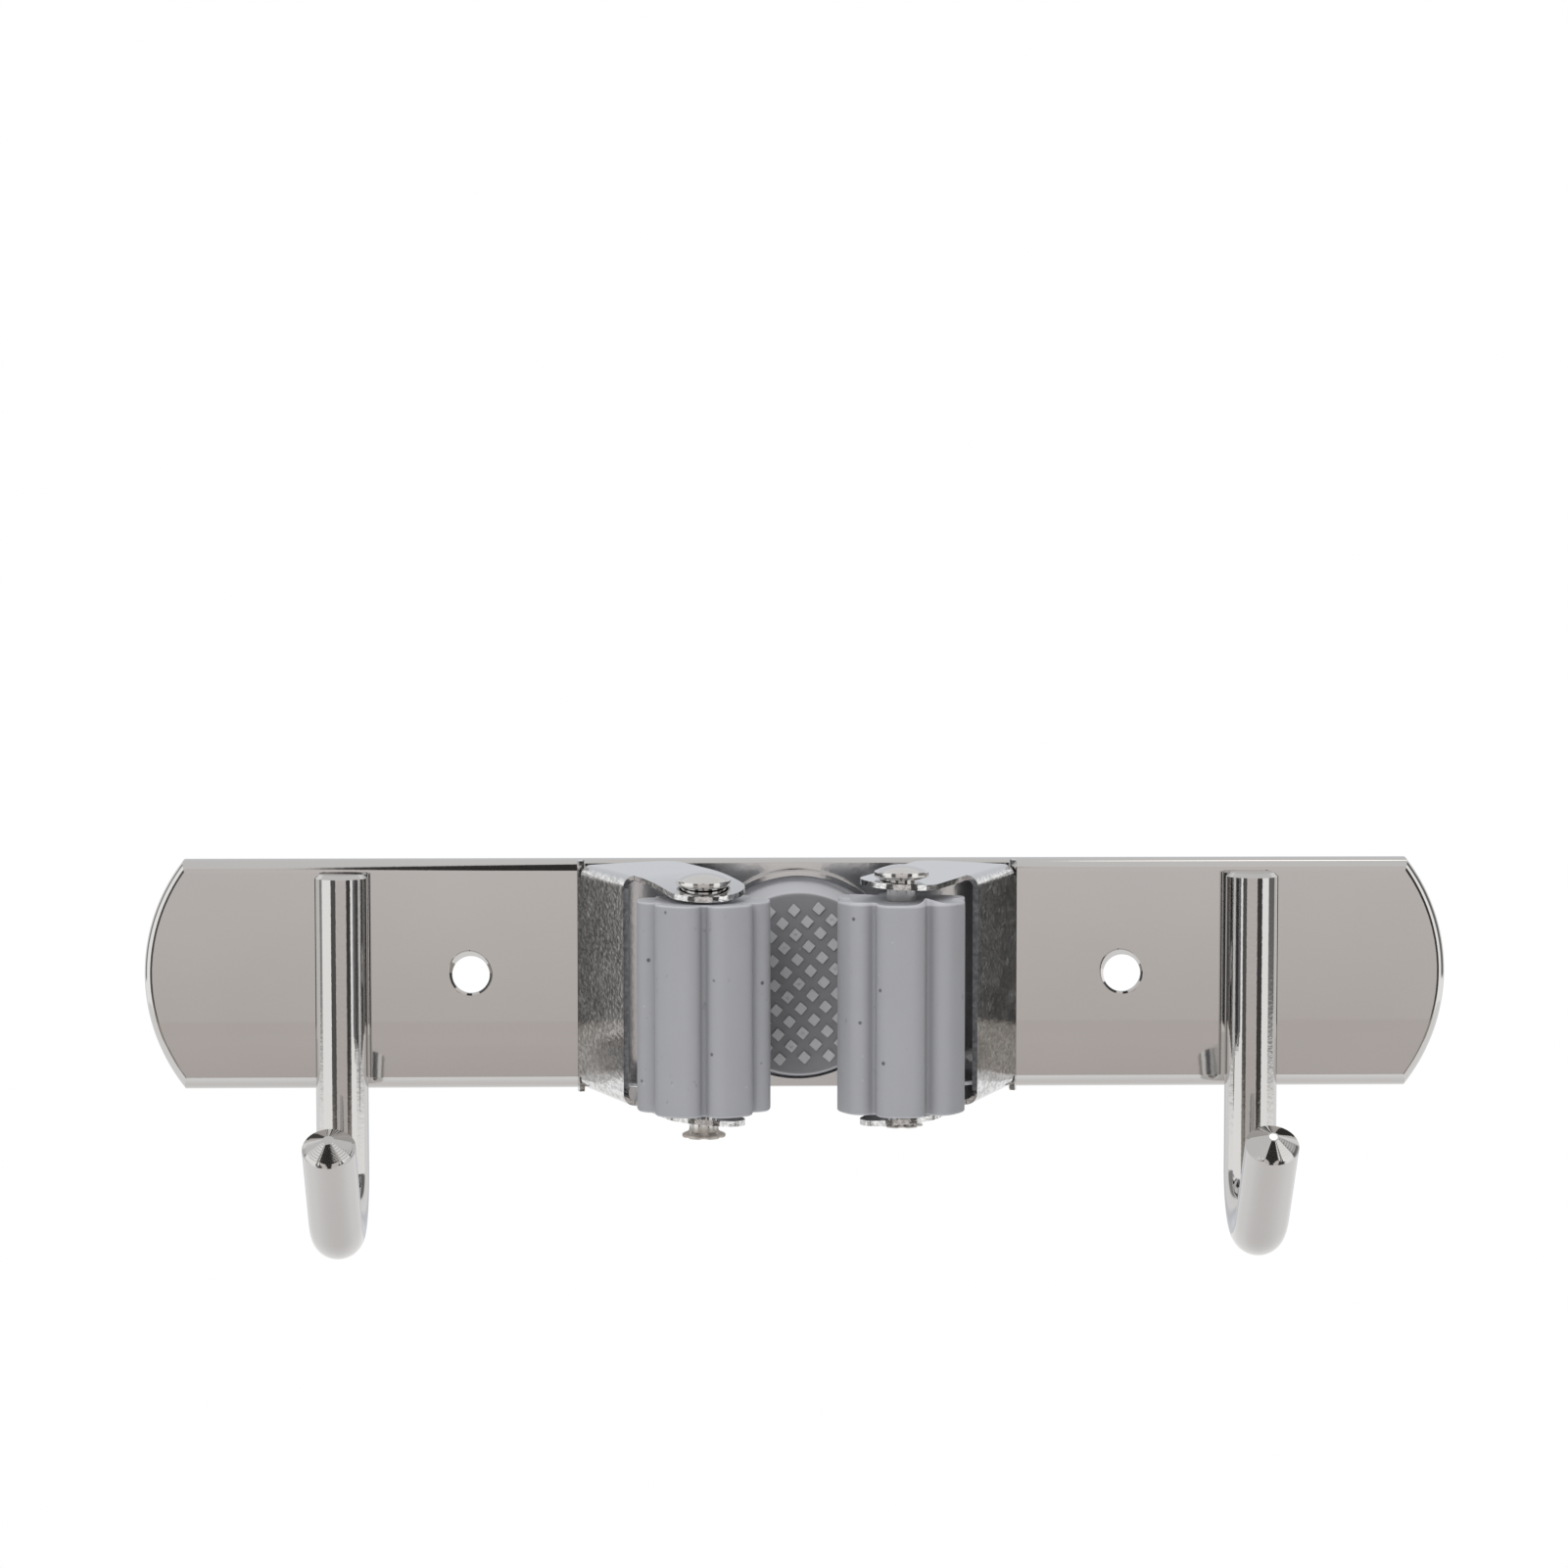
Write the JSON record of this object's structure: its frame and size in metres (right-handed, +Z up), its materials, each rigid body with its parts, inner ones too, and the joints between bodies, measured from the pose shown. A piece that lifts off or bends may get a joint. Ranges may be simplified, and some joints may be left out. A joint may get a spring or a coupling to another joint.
{
  "type": "wall mop holder rack",
  "caption": "Polished steel wall rack: arc-ended back plate with rod hooks at the sides and a sprung roller clip in the middle that grips a mop or broom handle.",
  "frame": {"origin": "midway between the two screw holes, on the back face of the plate's web", "axes": "+X along the plate to the right as seen from the front, +Z up, +Y towards the wall, so the clip and hooks stand out towards -Y"},
  "size_m": [0.226, 0.049, 0.0697],
  "materials": {
    "polished_plate": "mirror-polished stainless steel sheet",
    "polished_rod": "mirror-polished stainless steel rod",
    "polished_clip": "mirror-polished stainless spring sheet",
    "rivet_steel": "bright plated steel",
    "grey_rubber": "matt moulded rubber",
    "pad_rubber": "matt moulded rubber with raised diamonds"
  },
  "bodies": {
    "rack": {"back_plate": "polished_plate", "left_hook": "polished_rod", "right_hook": "polished_rod", "clip_base": "polished_clip", "pad_cup": "polished_clip", "grip_pad": "pad_rubber", "clip_rivets": "rivet_steel"},
    "left_arm": {"left_wing": "polished_clip", "left_rivet": "rivet_steel"},
    "right_arm": {"right_wing": "polished_clip", "right_rivet": "rivet_steel"},
    "left_roller": {"left_roller": "grey_rubber"},
    "right_roller": {"right_roller": "grey_rubber"}
  },
  "joints": [
    {"name": "left_wing_flex", "type": "hinge", "parent": "rack", "child": "left_arm", "pos_m": [-0.0361, -0.0029, 0], "axis": [0, 0, -1], "range_deg": [0, 10], "stiffness_Nm_per_rad": 6},
    {"name": "right_wing_flex", "type": "hinge", "parent": "rack", "child": "right_arm", "pos_m": [0.0361, -0.0029, 0], "axis": [0, 0, 1], "range_deg": [0, 10], "stiffness_Nm_per_rad": 6},
    {"name": "left_roller_spin", "type": "hinge", "parent": "left_arm", "child": "left_roller", "pos_m": [-0.0163, -0.036, 0], "axis": [0, 0, 1], "continuous": true},
    {"name": "right_roller_spin", "type": "hinge", "parent": "right_arm", "child": "right_roller", "pos_m": [0.0163, -0.036, 0], "axis": [0, 0, 1], "continuous": true}
  ]
}
